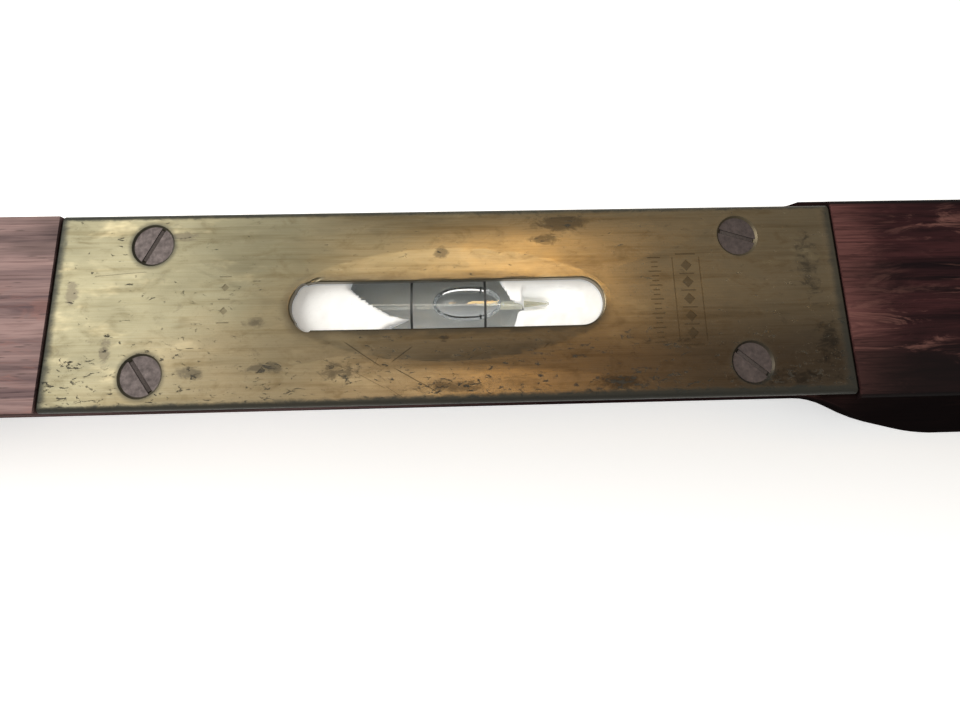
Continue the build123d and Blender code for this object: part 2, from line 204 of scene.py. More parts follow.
def makeBrass(name="agedBrass", topPlate=False, darkened=0.0):
    s = Shade(name)
    cloud = s.noise(14 * mm, 4, 0.6, (0.6, 1, 1))
    fine = s.noise(2.6 * mm, 5, 0.66, (0.45, 1, 1), warp=0.5)
    if topPlate:
        x, y = s.axis("X"), s.axis("Y")
        along = s.math("MULTIPLY_ADD", x, 5.5, 0.40)
        along = s.math("ADD", along, s.math("MULTIPLY", s.math("SUBTRACT", 0.004, y), 7.0))
        along = s.math("ADD", along, s.math("MULTIPLY", cloud, 0.42))
        tone = s.ramp(along, (0.16, oldBrass["end"]), (0.36, oldBrass["pale"]),
                      (0.66, oldBrass["yellow"]), (1.0, oldBrass["brown"]))
    else:
        tone = s.ramp(cloud, (0.3, oldBrass["yellow"]), (0.7, oldBrass["brown"]))
    brushed = s.noise(0.16 * mm, 3, 0.6, (0.012, 1, 1))
    tone = s.mix(s.math("MULTIPLY", s.between(brushed, 0.35, 0.7), 0.28), tone, (0.72, 0.64, 0.45), "MULTIPLY")
    streak = s.noise(1.6 * mm, 4, 0.6, (0.05, 1, 1), (0.4, 0, 0))
    tone = s.mix(s.math("MULTIPLY", s.between(streak, 0.48, 0.72), 0.45), tone, (0.52, 0.45, 0.34), "MULTIPLY")
    tone = s.mix(s.math("MULTIPLY", s.between(fine, 0.50, 0.70), 0.40), tone, (0.50, 0.43, 0.33), "MULTIPLY")
    lift = s.noise(6 * mm, 4, 0.6, (0.4, 1, 1), (0.7, 0.5, 0))
    tone = s.mix(s.math("MULTIPLY", s.between(lift, 0.55, 0.72), 0.22), tone, (0.66, 0.55, 0.33))
    # pits and flecks
    flecks = s.noise(0.8 * mm, 6, 0.72, (0.45, 1, 1), (0, 0.7, 0), warp=0.8)
    patch = s.noise(8 * mm, 4, 0.62, (0.7, 1, 1), (0.3, 0.1, 0))
    reach = s.math("MULTIPLY", patch, 0.17)
    stain = s.noise(1.5 * mm, 5, 0.7, (0.6, 1, 1), (0.5, 0, 0), warp=0.6)
    edge = 0.0
    if topPlate:
        reach = s.math("ADD", reach, s.math("MULTIPLY", s.between(y, 0.002, -0.0168), 0.062))
        spots = 0.0
        for cx, cy, halfX, halfY, strength in oldBrass["stains"]:
            scale = (1000 / halfX, 1000 / halfY, 0)
            where = s.place(scale, (-cx / halfX, -cy / halfY, 0))
            spot = s.math("MULTIPLY", s.between(s.length(where), 1.35, 0.1), strength)
            spots = s.math("MAXIMUM", spots, spot)
        blotch = s.between(s.math("ADD", s.math("MULTIPLY", spots, 0.42), stain), 0.58, 0.84)
        tone = s.mix(s.math("MULTIPLY", blotch, 0.72), tone, (0.085, 0.072, 0.052))
        reach = s.math("ADD", reach, s.math("MULTIPLY", spots, 0.06))
        # verdigris and painted shade: dark rings round the screw heads, strips along the long edges that widen to the
        # right, and the ends where the plate meets the wood
        ring = 0.0
        for cx, cy in screwPlaces:
            where = s.place((1, 1, 0), (-cx, -cy, 0))
            ring = s.math("MAXIMUM", ring, s.between(s.length(where), 0.0048, 0.0035))
        ragged = s.math("MULTIPLY_ADD", stain, 0.0016, -0.0008)
        nearStrip = s.math("MULTIPLY_ADD", x, 0.006, s.math("SUBTRACT", ragged, y))
        farStrip = s.math("ADD", y, ragged)
        longEdgeVerdigrisShade = s.math("MAXIMUM", s.between(nearStrip, 0.0157, 0.0166),
                          s.between(farStrip, 0.0162, 0.0171))
        leftEnd = s.between(s.math("SUBTRACT", ragged, x), 0.0700, 0.0717)
        rightEnd = s.between(s.math("ADD", x, ragged), 0.0690, 0.0712)
        ends = s.math("MAXIMUM", leftEnd, rightEnd)
        edge = s.math("MAXIMUM", longEdgeVerdigrisShade, s.math("MAXIMUM", ends, s.math("MULTIPLY", ring, 0.7)))
        # painted shade with some grime: a darker band along the sight slot's rim
        beyond = s.math("ABSOLUTE", s.math("SUBTRACT", x, oldBrass["sightMiddle"]))
        beyond = s.math("MAXIMUM", s.math("SUBTRACT", beyond, oldBrass["sightHalf"]), 0.0)
        apart = s.math("SQRT", s.math("ADD", s.math("MULTIPLY", beyond, beyond), s.math("MULTIPLY", y, y)))
        apart = s.math("ADD", apart, ragged)
        slotRimShade = s.math("MULTIPLY", s.between(apart, 0.0066, 0.0043), 0.62)
        tone = s.mix(slotRimShade, tone, (0.10, 0.085, 0.062))
        for cx, cy, length, turn in oldBrass["scratches"]:
            a = math.radians(-turn)
            shiftX = -(cx * math.cos(a) - cy * math.sin(a)) * mm
            shiftY = -(cx * math.sin(a) + cy * math.cos(a)) * mm
            split = s.add("ShaderNodeSeparateXYZ", Vector=s.place((1, 1, 1), (shiftX, shiftY, 0), (0, 0, a)))
            waver = s.math("MULTIPLY_ADD", cloud, 0.7 * mm, s.math("SUBTRACT", split.outputs["Y"], 0.35 * mm))
            thin = s.between(s.math("ABSOLUTE", waver), 0.13 * mm, 0.05 * mm)
            within = s.between(s.math("ABSOLUTE", split.outputs["X"]), length / 2 * mm, length * 0.35 * mm)
            tone = s.mix(s.math("MULTIPLY", s.math("MULTIPLY", thin, within), 0.7), tone, (0.075, 0.065, 0.045))
        # painted shade: the near half is darker, most of all beyond the middle
        nearShadeGrowth = s.math("MULTIPLY_ADD", s.between(x, -0.065, 0.03), 0.75, 0.2)
        paintedNearShade = s.math("MULTIPLY", s.between(y, 0.003, -0.011), nearShadeGrowth)
        tone = s.mix(paintedNearShade, tone, (0.35, 0.33, 0.36), "MULTIPLY")
    mask = s.between(s.math("ADD", flecks, reach), 0.738, 0.772)
    tone = s.mix(s.math("MULTIPLY", mask, 0.72), tone, oldBrass["tarnish"])
    # verdigris with painted shade at the plate's edges, ends and screw rings
    tone = s.mix(s.math("MULTIPLY", edge, 0.86), tone, oldBrass["verdigrisAndShade"])
    if darkened:
        tone = s.mix(darkened, tone, (0.07, 0.055, 0.035))
    dull = s.math("MAXIMUM", mask, s.math("MULTIPLY", edge, 0.8))
    rough = s.math("ADD", s.math("MULTIPLY", dull, 0.28), s.math("MULTIPLY", fine, 0.20))
    rough = s.math("ADD", rough, oldBrass["roughness"] - 0.10)
    metal = s.math("SUBTRACT", 1.0, s.math("MULTIPLY", dull, 0.6))
    s.bump(brushed, 0.012 * mm, 0.5)
    s.bump(s.math("SUBTRACT", 1.0, mask), 0.05 * mm, 0.7)
    s.bump(s.noise(11 * mm, 2, 0.5), 0.12 * mm, 0.5)
    return s.set(Base_Color=tone, Roughness=rough, Metallic=metal, Specular_IOR_Level=0.2)


oldWood = {
    "dark": (0.008, 0.0035, 0.0045),
    "warm": (0.046, 0.015, 0.016),
    "fadedLitDark": (0.115, 0.070, 0.073),
    "fadedLitWarm": (0.33, 0.215, 0.20),
    "worn": (0.30, 0.14, 0.115),
    "grimeAndShade": (0.0055, 0.0042, 0.0042),
    "roughness": 0.55,
}


def makeWood():
    s = Shade("darkHardwood")
    x, y = s.axis("X"), s.axis("Y")
    grain = s.noise(2.2 * mm, 5, 0.62, (0.06, 1, 1), warp=0.4)
    fibre = s.noise(0.35 * mm, 4, 0.65, (0.03, 1, 1), (0.2, 0, 0))
    deep = s.ramp(grain, (0.32, oldWood["dark"]), (0.64, oldWood["warm"]))
    pale = s.ramp(grain, (0.30, oldWood["fadedLitDark"]), (0.62, oldWood["fadedLitWarm"]))
    # the wood left of the plate is painted paler: partly faded, partly painted light from the left
    sway = s.math("MULTIPLY_ADD", s.noise(30 * mm, 2, 0.5), 0.06, -0.03)
    fadedAndLit = s.between(s.math("ADD", x, sway), 0.03, -0.07)
    fadedAndLit = s.math("MULTIPLY", fadedAndLit, s.math("MULTIPLY_ADD", s.between(x, -0.105, -0.20), -0.62, 1.0))
    tone = s.mix(fadedAndLit, deep, pale)
    tone = s.mix(s.math("MULTIPLY", s.between(fibre, 0.48, 0.70), 0.6), tone, (0.36, 0.28, 0.28), "MULTIPLY")
    wear = s.noise(3.0 * mm, 6, 0.70, (0.22, 1, 1), (0.13, 0.4, 0), warp=0.8)
    wornPatch = s.between(wear, 0.52, 0.66)
    broad = s.between(s.noise(26 * mm, 3, 0.55, (0.5, 1, 1), (0.32, 0, 0)), 0.40, 0.60)
    wornPatch = s.math("MULTIPLY", wornPatch, broad)
    tone = s.mix(s.math("MULTIPLY", wornPatch, 0.5), tone, oldWood["worn"])
    # rubbed red beside the plate's right end
    rub = s.between(s.math("MULTIPLY_ADD", wear, 0.022, x), 0.0945, 0.083)
    rub = s.math("MULTIPLY", rub, s.between(x, 0.065, 0.0722))
    rub = s.math("MULTIPLY", rub, s.math("MULTIPLY_ADD", s.between(fibre, 0.62, 0.42), 0.55, 0.45))
    tone = s.mix(s.math("MULTIPLY", rub, 0.55), tone, (0.21, 0.088, 0.078))
    # random hand grime, and painted shade on the side faces, the top's edges and the near side beyond the plate's right
    # end
    stained = s.between(s.noise(18 * mm, 4, 0.6, (0.35, 1, 1), (0.05, 0.31, 0.1)), 0.52, 0.70)
    nearby = s.math("MULTIPLY_ADD", wear, 0.014, y)
    woodNearShade = s.math("MULTIPLY", s.between(nearby, 0.004, -0.007), s.between(x, 0.05, 0.08))
    aside = s.between(s.math("ABSOLUTE", y), 0.0170, 0.0177)
    side = s.between(s.axis("Z"), 0.07592, 0.0750)
    patchy = s.between(s.noise(24 * mm, 4, 0.6, (0.5, 1, 1), (0.2, 0.1, 0.6)), 0.36, 0.62)
    shoulder = s.math("MULTIPLY", s.between(x, 0.045, 0.075), s.between(x, 0.30, 0.16))
    sideShadeAndGrime = s.math("MAXIMUM", s.math("MULTIPLY_ADD", patchy, 0.45, 0.35), s.math("MULTIPLY", shoulder, 0.97))
    sideShadeAndGrime = s.math("MULTIPLY", s.math("MAXIMUM", side, s.math("MULTIPLY", aside, shoulder)), sideShadeAndGrime)
    grimeAndShade = s.math("MAXIMUM", s.math("MULTIPLY", stained, 0.5), s.math("MULTIPLY", woodNearShade, 0.85))
    grimeAndShade = s.math("MAXIMUM", grimeAndShade, sideShadeAndGrime)
    tone = s.mix(grimeAndShade, tone, oldWood["grimeAndShade"])
    pore = s.between(s.cells(0.5 * mm, (0.09, 1, 1)), 0.22, 0.08)
    tone = s.mix(s.math("MULTIPLY", pore, 0.5), tone, (0.010, 0.005, 0.005))
    rough = s.math("ADD", s.math("MULTIPLY", wornPatch, 0.2), s.math("MULTIPLY", fibre, 0.2))
    rough = s.math("ADD", rough, oldWood["roughness"] - 0.1)
    s.bump(fibre, 0.05 * mm, 0.6)
    s.bump(s.math("SUBTRACT", 1.0, pore), 0.05 * mm, 0.5)
    s.bump(s.noise(16 * mm, 3, 0.5, (0.5, 1, 1)), 0.25 * mm, 0.6)
    varnish = s.math("MULTIPLY", s.math("SUBTRACT", 1.0, side), 0.22)
    return s.set(Base_Color=tone, Roughness=rough, Specular_IOR_Level=0.0, Coat_Weight=varnish,
                 Coat_Roughness=0.45)


def makeScrewSteel(name="brownedSteel", colour=(0.115, 0.092, 0.088), metallic=0.6):
    s = Shade(name)
    mottle = s.noise(0.9 * mm, 5, 0.65)
    low, high = tuple(c * 0.55 for c in colour), tuple(c * 1.5 for c in colour)
    tone = s.ramp(mottle, (0.3, low), (0.62, colour), (0.8, high))
    rough = s.ramp(mottle, (0.3, 0.62), (0.75, 0.42))
    s.bump(mottle, 0.05 * mm, 0.8)
    s.bump(s.noise(0.18 * mm, 2, 0.5, (1, 0.2, 1)), 0.02 * mm, 0.6)
    return s.set(Base_Color=tone, Roughness=rough, Metallic=metallic)


# plaster with a faint glow, painted light that keeps it white down in the slot
def makePlaster(name="plaster", paintedGlow=0.19, shaded=False):
    s = Shade(name)
    cloud = s.noise(2.4 * mm, 4, 0.6)
    tone = s.ramp(cloud, (0.3, (0.88, 0.865, 0.83)), (0.7, (0.97, 0.965, 0.95)))
    if shaded:
        # painted shade: the rear half is darker and glows less
        rear = s.between(s.axis("Y"), -0.0035, 0.004)
        tone = s.mix(s.math("MULTIPLY", rear, 0.65), tone, (0.34, 0.34, 0.31))
        paintedGlow = s.math("MULTIPLY_ADD", rear, -0.8 * paintedGlow, paintedGlow)
    pit = s.between(s.cells(0.8 * mm), 0.16, 0.05)
    s.bump(cloud, 0.12 * mm, 0.6)
    s.bump(s.math("SUBTRACT", 1.0, pit), 0.08 * mm, 0.6)
    return s.set(Base_Color=tone, Roughness=0.85, Emission_Color=(0.93, 0.98, 1.0), Emission_Strength=paintedGlow)


def makeGlass(name, ior, tint=(1, 1, 1), roughness=0.0):
    s = Shade(name)
    haze = s.noise(3 * mm, 3, 0.5)
    rough = s.ramp(haze, (0.4, roughness), (0.8, roughness + 0.03))
    return s.set(Base_Color=tint, Transmission_Weight=1.0, IOR=ior, Roughness=rough)


# only the tint that spirit adds, as the bore's own surface bends the light
def makeSpirit():
    s = Shade("clearSpirit")
    haze = s.noise(4 * mm, 2, 0.5)
    tone = s.ramp(haze, (0.3, (0.62, 0.70, 0.62)), (0.7, (0.72, 0.78, 0.70)))
    return s.set(Base_Color=tone, Roughness=0.3, Alpha=0.06, Specular_IOR_Level=0.0)


def makeEnamel():
    s = Shade("lineEnamel")
    chip = s.noise(0.3 * mm, 4, 0.6)
    tone = s.ramp(chip, (0.4, (0.030, 0.033, 0.034)), (0.85, (0.09, 0.09, 0.09)))
    return s.set(Base_Color=tone, Roughness=s.ramp(chip, (0.3, 0.35), (0.8, 0.6)))


brass = makeBrass()
plateBrass = makeBrass("topPlateBrass", True)
punchedBrass = makeBrass("punchedBrass", True, 0.5)
wood = makeWood()
screwSteel = makeScrewSteel()
brassScrew = makeScrewSteel("tarnishedBrass", (0.30, 0.22, 0.10), 0.9)
plaster = makePlaster()
deepPlaster = makePlaster("deepPlaster", 0.20, True)
vialGlass = makeGlass("vialGlass", 1.45, (0.98, 0.99, 0.985))
wetBore = makeGlass("wetBore", 1.066)
spirit = makeSpirit()
vapour = makeGlass("vapour", 0.735)
enamel = makeEnamel()


def makePackedDirt():
    s = Shade("packedDirt")
    grit = s.noise(0.25 * mm, 4, 0.7)
    tone = s.ramp(grit, (0.3, (0.028, 0.021, 0.019)), (0.75, (0.085, 0.066, 0.058)))
    s.bump(grit, 0.08 * mm, 0.8)
    return s.set(Base_Color=tone, Roughness=0.85)


packedDirt = makePackedDirt()


# the seal's milky core glows: painted light for the highlight streak along the vial, greyer and dimmer towards the tip
def makeSealGlowGlass():
    s = Shade("sealedGlassWithGlow")
    cloud = s.noise(0.6 * mm, 3, 0.5, (0.3, 1, 1))
    pale = s.ramp(cloud, (0.3, (0.86, 0.83, 0.62)), (0.7, (0.97, 0.95, 0.80)))
    outer = s.between(s.axis("X"), 0.0095, 0.0125)
    tone = s.mix(outer, pale, (0.62, 0.60, 0.46))
    paintedGlow = s.math("MULTIPLY_ADD", outer, -0.17, 0.24)
    return s.set(Base_Color=tone, Roughness=0.12, Coat_Weight=0.6, Emission_Color=tone, Emission_Strength=paintedGlow)


sealGlowGlass = makeSealGlowGlass()
print("materials made")


def dress(names, material):
    for name in names:
        data = nodes[name].data
        data.materials.clear()
        data.materials.append(material)


dress(["stock"], wood)
dress(["front_plumb_plate", "rear_plumb_plate"], brass)
dress(["top_plate_screws"], screwSteel)
dress(["front_plumb_screws", "rear_plumb_screws"], brassScrew)
dress(["plumb_plaster_upper", "plumb_plaster_lower"], plaster)
dress(["level_reading_lines", "plumb_reading_lines"], enamel)


# small tools for making pieces
def meshObject(name, bm, materials, body="level", smooth=True):
    mesh = bpy.data.meshes.new(name)
    bm.to_mesh(mesh)
    bm.free()
    for material in materials:
        mesh.materials.append(material)
    if smooth:
        mesh.shade_smooth()
    piece = bpy.data.objects.new(name, mesh)
    bpy.context.scene.collection.objects.link(piece)
    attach(piece, body)
    return piece


# the node's shape with its doubles merged
def cadCopy(node):
    bm = bmesh.new()
    bm.from_mesh(nodes[node].data)
    bmesh.ops.remove_doubles(bm, verts=bm.verts, dist=0.002 * mm)
    return bm


# smooth shading that keeps the true corners sharp
def softEdges(piece, angle=35):
    mesh = piece.data
    bm = bmesh.new()
    bm.from_mesh(mesh)
    for edge in bm.edges:
        if len(edge.link_faces) == 2 and edge.calc_face_angle(0) > math.radians(angle):
            edge.smooth = False
    bm.to_mesh(mesh)
    bm.free()


# takes the cutter away from the piece for good
def carve(piece, cutter):
    before = len(piece.data.polygons)
    modifier = piece.modifiers.new("carve", "BOOLEAN")
    modifier.operation = "DIFFERENCE"
    modifier.solver = "EXACT"
    modifier.object = cutter
    bpy.context.view_layer.update()
    shape = piece.evaluated_get(bpy.context.evaluated_depsgraph_get())
    carved = bpy.data.meshes.new_from_object(shape)
    piece.modifiers.clear()
    piece.data = carved
    bpy.data.objects.remove(cutter)
    print("carved", piece.name, before, "to", len(carved.polygons), "faces")


def cutterFrom(name, bm):
    mesh = bpy.data.meshes.new(name)
    bm.to_mesh(mesh)
    bm.free()
    cutter = bpy.data.objects.new(name, mesh)
    bpy.context.scene.collection.objects.link(cutter)
    return cutter


# a closed shell turned about X from (x, radius) points that start and end on the axis
def spun(outline, materialIndex=0, inward=False, steps=96):
    bm = bmesh.new()
    ring = [bm.verts.new((x, 0, r)) for x, r in outline]
    for a, b in zip(ring, ring[1:]):
        bm.edges.new((a, b))
    bmesh.ops.spin(bm, geom=bm.verts[:] + bm.edges[:], cent=(0, 0, 0), axis=(1, 0, 0),
                   angle=math.tau, steps=steps, use_merge=True)
    bmesh.ops.remove_doubles(bm, verts=bm.verts, dist=0.001 * mm)
    bmesh.ops.recalc_face_normals(bm, faces=bm.faces)
    if inward:
        bmesh.ops.reverse_faces(bm, faces=bm.faces)
    for face in bm.faces:
        face.material_index = materialIndex
    return bm


def joined(*shapes):
    bm = bmesh.new()
    for shape in shapes:
        scratch = bpy.data.meshes.new("scratch")
        shape.to_mesh(scratch)
        shape.free()
        bm.from_mesh(scratch)
        bpy.data.meshes.remove(scratch)
    return bm


# (x, radius) points along a tube from low to high, with rounded ends
def tubeOutline(low, high, radius, bend, steps=12):
    rise = [math.pi / 2 * step / steps for step in range(steps + 1)]
    fall = [math.pi / 2 * (1 - step / steps) for step in range(steps + 1)]
    points = [(low + bend * (1 - math.cos(a)), radius - bend * (1 - math.sin(a))) for a in rise]
    return points + [(high - bend * (1 - math.cos(a)), radius - bend * (1 - math.sin(a))) for a in fall]


# level vial: glass tube with a drawn nib, spirit and bubble
levelVial = {
    "wall": 1.5 * mm,
    "endWall": 1.0 * mm,
    "endBend": 3.6 * mm,
    "boreBend": 2.6 * mm,
    "barrelRise": 0.2 * mm,
    "nibLength": 5.6 * mm,
    "nibRoot": 1.5 * mm,
    "spiritGap": 0.03 * mm,
}


# the round-ended bore, widest at the reading lines
def barrelOutline(low, high, crown, gap=0.0):
    far = max(linesMiddle - low, high - linesMiddle)
    bend = levelVial["boreBend"]
    steps = 24
    points = []
    for step in range(13):
        a = math.pi / 2 * step / 12
        points.append((low + bend * (1 - math.cos(a)), bend * (1 - math.sin(a))))
    for step in range(1, steps):
        points.append((low + bend + (high - low - 2 * bend) * step / steps, 0.0))
    for step in range(13):
        a = math.pi / 2 * (1 - step / 12)
        points.append((high - bend * (1 - math.cos(a)), bend * (1 - math.sin(a))))
    outline = [(low + gap, 0.0)]
    for x, inset in points:
        drop = levelVial["barrelRise"] * ((x - linesMiddle) / far) ** 2
        outline.append((min(max(x, low + gap), high - gap), crown - drop - gap - inset))
    return outline + [(high - gap, 0.0)]


def makeLevelVial():
    low = glassLow.x
    high = glassHigh.x - levelVial["nibLength"]
    radius = (glassHigh.y - glassLow.y) / 2
    bend = levelVial["endBend"]
    outline = [(low, 0.0)] + tubeOutline(low, high, radius, bend)
    # the nib: a quick neck, then a long drawn point
    root, tip = levelVial["nibRoot"], high + levelVial["nibLength"]
    for t, r in ((0.02, 1.5), (0.08, 1.18), (0.2, 1.0), (0.45, 0.78), (0.7, 0.55), (0.9, 0.32), (0.98, 0.16)):
        outline.append((high + (tip - high) * t, root * r))
    outline.append((tip, 0.0))
    crown = radius - levelVial["wall"]
    boreLow, boreHigh = low + levelVial["endWall"], high - levelVial["endWall"]
    shell = spun(outline)
    bore = spun(barrelOutline(boreLow, boreHigh, crown), 1, inward=True)
    bm = joined(shell, bore)
    bmesh.ops.translate(bm, verts=bm.verts, vec=(0, vialSide, vialAxis))
    glass = meshObject("levelVialGlass", bm, [vialGlass, wetBore])
    softEdges(glass, 50)
    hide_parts("level_vial_glass")
    bm = spun(barrelOutline(boreLow, boreHigh, crown, levelVial["spiritGap"]))
    bmesh.ops.translate(bm, verts=bm.verts, vec=(0, vialSide, vialAxis))
    fill = meshObject("levelSpiritFill", bm, [spirit])
    softEdges(fill, 50)
    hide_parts("level_spirit")
    return boreHigh


levelBubble = {
    "flatten": 0.55,  # height against width below the bubble's widest line
}


# an egg-ended bubble with a flatter belly
def makeBubble(name, low, high, axisUp, body, node):
    bm = bmesh.new()
    bmesh.ops.create_icosphere(bm, subdivisions=5, radius=1.0)
    middle, half = (low + high) / 2, (high - low) / 2
    for v in bm.verts:
        p = v.co.copy()
        if axisUp:
            p.z = math.copysign(abs(p.z) ** 0.8, p.z)
            v.co = p
        else:
            p.x = math.copysign(abs(p.x) ** 0.82, p.x)
            if p.z < 0:
                p.z *= levelBubble["flatten"]
            v.co = p
        v.co = Vector((middle.x + v.co.x * half.x, middle.y + v.co.y * half.y, middle.z + v.co.z * half.z))
    bubble = meshObject(name, bm, [vapour], body)
    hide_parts(node)


plumbVial = {"wall": 1.5 * mm, "endWall": 2.5 * mm, "endBend": 3.2 * mm}


# a plain round-ended tube and its spirit
def makePlumbVial():
    low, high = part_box("plumb_vial_glass")
    spiritLow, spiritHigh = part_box("plumb_spirit")
    middle, half = (low + high) / 2, (high.z - low.z) / 2
    radius, bend = (high.x - low.x) / 2, plumbVial["endBend"]
    bore, boreHalf = radius - plumbVial["wall"], (spiritHigh.z - spiritLow.z) / 2 + 0.02 * mm
    outline = [(-half, 0.0)] + tubeOutline(-half, half, radius, bend) + [(half, 0.0)]
    hollow = [(-boreHalf, 0.0), (-boreHalf, bore), (boreHalf, bore), (boreHalf, 0.0)]
    gap = 0.03 * mm
    inner = [(-boreHalf + gap, 0.0), (-boreHalf + gap, bore - gap), (boreHalf - gap, bore - gap), (boreHalf - gap, 0.0)]
    upright = Matrix.Translation(middle) @ Matrix.Rotation(-math.pi / 2, 4, "Y")
    bm = joined(spun(outline), spun(hollow, 1, inward=True))
    bmesh.ops.transform(bm, matrix=upright, verts=bm.verts)
    glass = meshObject("plumbVialGlass", bm, [vialGlass, wetBore])
    softEdges(glass, 50)
    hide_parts("plumb_vial_glass")
    bm = spun(inner)
    bmesh.ops.transform(bm, matrix=upright, verts=bm.verts)
    fill = meshObject("plumbSpiritFill", bm, [spirit])
    softEdges(fill, 50)
    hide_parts("plumb_spirit")


sealStreak = {"start": 5.6 * mm, "depth": 1.0 * mm, "radius": 0.62 * mm}


# a milky point of glass that runs from under the bubble to the nib's tip, glowing as a painted highlight streak
def makeSealAndStreak(boreHigh):
    tip = glassHigh.x - 0.25 * mm
    root = boreHigh + 1.0 * mm
    start = linesMiddle + sealStreak["start"]
    fat = sealStreak["radius"]
    outline = [(start, 0.0), (start + 0.5 * mm, fat * 0.55), (start + 2.4 * mm, fat * 0.85), (root - 1.6 * mm, fat)]
    outline += [(root, fat * 0.75), (root + (tip - root) * 0.5, fat * 0.45), (tip - 0.4 * mm, fat * 0.15), (tip, 0.0)]
    bm = spun(outline, steps=24)
    for v in bm.verts:
        inside = min(max((root + 0.4 * mm - v.co.x) / (2.2 * mm), 0.0), 1.0)
        v.co.z -= sealStreak["depth"] * inside * inside * (3 - 2 * inside)
    bmesh.ops.translate(bm, verts=bm.verts, vec=(0, vialSide, vialAxis))
    core = meshObject("levelVialSealStreak", bm, [sealGlowGlass])


# plaster heaps: a height over the seat's plan, roughened, with the glass's room cut out
plasterHeaps = {
    "cell": 0.45 * mm,
    "rough": 0.16 * mm,
    # each heap's edge over the glass, (y, x) in mm
    "leftEdge": ((4.9, -19.7), (3.6, -19.7), (-1.6, -11.8), (-2.2, -8.4), (-2.8, -9.8), (-3.7, -12.6), (-4.4, -13.4)),
    "rightEdge": ((5.2, 8.7), (3.2, 9.4), (0.9, 10.6), (0.5, 11.2), (0.3, 12.6), (-0.4, 12.7),
                  (-4.0, 12.1), (-5.0, 11.6)),
}


# x on a broken line of (y, x) points, held beyond its ends
def edgeAt(points, y):
    points = sorted(points)
    if y <= points[0][0]:
        return points[0][1]
    for (ya, xa), (yb, xb) in zip(points, points[1:]):
        if y <= yb:
            return xa + (xb - xa) * (y - ya) / (yb - ya)
    return points[-1][1]


# a solid between the node's underside and heightAt(x, y), kept inside the node's box
def makeHeap(name, node, heightAt):
    low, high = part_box(node)
    size, cell = high - low, plasterHeaps["cell"]
    columns, rows = int(size.x / cell), int(size.y / cell)
    bm = bmesh.new()
    bmesh.ops.create_grid(bm, x_segments=columns, y_segments=rows, size=0.5)
    for v in bm.verts:
        v.co.x = low.x + (v.co.x + 0.5) * size.x
        v.co.y = low.y + (v.co.y + 0.5) * size.y
    # round the far end as the seat is
    radius = size.y / 2
    farX = low.x + radius if name.endswith("Left") else high.x - radius
    outward = -1 if name.endswith("Left") else 1
    for v in bm.verts:
        if (v.co.x - farX) * outward > 0:
            reach = math.sqrt(max(radius * radius - (v.co.x - farX) ** 2, 0.0))
            v.co.y *= max(reach, 0.3 * mm) / radius
    base = bm.faces[:]
    top = bmesh.ops.extrude_face_region(bm, geom=base)
    topVerts = [g for g in top["geom"] if isinstance(g, bmesh.types.BMVert)]
    for v in topVerts:
        rough = noise.fractal(v.co / (2.2 * mm), 0.9, 2.0, 4) * plasterHeaps["rough"]
        z = heightAt(v.co.x / mm, v.co.y / mm) * mm + rough
        v.co.z = min(max(z, low.z + 0.15 * mm), high.z)
    for v in bm.verts:
        if v.co.z == 0:
            v.co.z = low.z
    bmesh.ops.recalc_face_normals(bm, faces=bm.faces)
    heap = meshObject(name, bm, [plaster])
    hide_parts(node)
    return heap


# the glass's outside a hair larger, for cutting its bed into the plaster
def vialRoom():
    gap = 0.03 * mm
    low, high = glassLow.x - gap, glassHigh.x - levelVial["nibLength"] + gap
    radius = (glassHigh.y - glassLow.y) / 2 + gap
    outline = [(low, 0.0)] + tubeOutline(low, high, radius, levelVial["endBend"], 8) + [(high, 0.0)]
    bm = spun(outline, steps=72)
    bmesh.ops.translate(bm, verts=bm.verts, vec=(0, vialSide, vialAxis))
    return cutterFrom("vialRoom", bm)


def makeLevelPlaster():
    axis, crest = vialAxis / mm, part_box("level_plaster_left")[1].z / mm
    nibEnd = glassHigh.x / mm
    glassEnd = nibEnd - levelVial["nibLength"] / mm + 0.1

    def leftHeight(x, y):
        edge = edgeAt(plasterHeaps["leftEdge"], y)
        return crest - max(x - edge, 0.0) * 2.4 - max(x - edge + 1.5, 0.0) * 0.12

    def rightHeight(x, y):
        edge = edgeAt(plasterHeaps["rightEdge"], y)
        rise = crest - max(edge - x, 0.0) * 3.0
        valley = axis - 0.5 + max(abs(y - vialSide / mm) - 1.0, 0.0) * 5.5 + max(x - nibEnd - 0.8, 0.0) * 1.6
        if x < glassEnd and y > 0.35:
            valley = crest  # it closes over the glass behind the nib
        return min(rise, max(valley, axis - 0.5))

    for name, node, height in (
        ("levelPlasterLeft", "level_plaster_left", leftHeight),
        ("levelPlasterRight", "level_plaster_right", rightHeight),
    ):
        carve(makeHeap(name, node, height), vialRoom())
    dress(["level_plaster_bed"], deepPlaster)


# top plate: the CAD shape with its stamped marks and small injuries
platePunch = {
    "depth": 0.11 * mm,
    "leftColumn": -41.2 * mm,
    "tickColumn": 37.2 * mm,
    "frameColumn": 43.1 * mm,
    "frameSize": (5.0 * mm, 16.6 * mm),
    "line": 0.22 * mm,
    # ragged corners at the slot's left end: x, y, half length, half width in mm, turn in degrees
    "chips": ((-27.7, 2.9, 1.5, 0.8, 52), (-27.1, -3.5, 1.7, 0.8, -35)),
    # scratches: middle x, middle y and length in mm, turn in degrees
    "scratches": (
        (-20.5, -10.6, 5.8, -22),
        (-14.9, -13.2, 5.8, -28),
        (-10.3, -15.5, 4.2, -33),
        (-13.6, -9.4, 2.6, 62),
        (-60.0, 6.4, 9.0, 4),
        (12.0, -13.0, 7.0, 6),
    ),
}


def bar(bm, x, y, sizeX, sizeY, turn=0.0, depth=platePunch["depth"]):
    where = Matrix.Translation((x, y, plateTop + 0.25 * mm - depth / 2)) @ Matrix.Rotation(turn, 4, "Z")
    bmesh.ops.create_cube(bm, size=1.0, matrix=where @ Matrix.Diagonal((sizeX, sizeY, depth + 0.5 * mm, 1)))


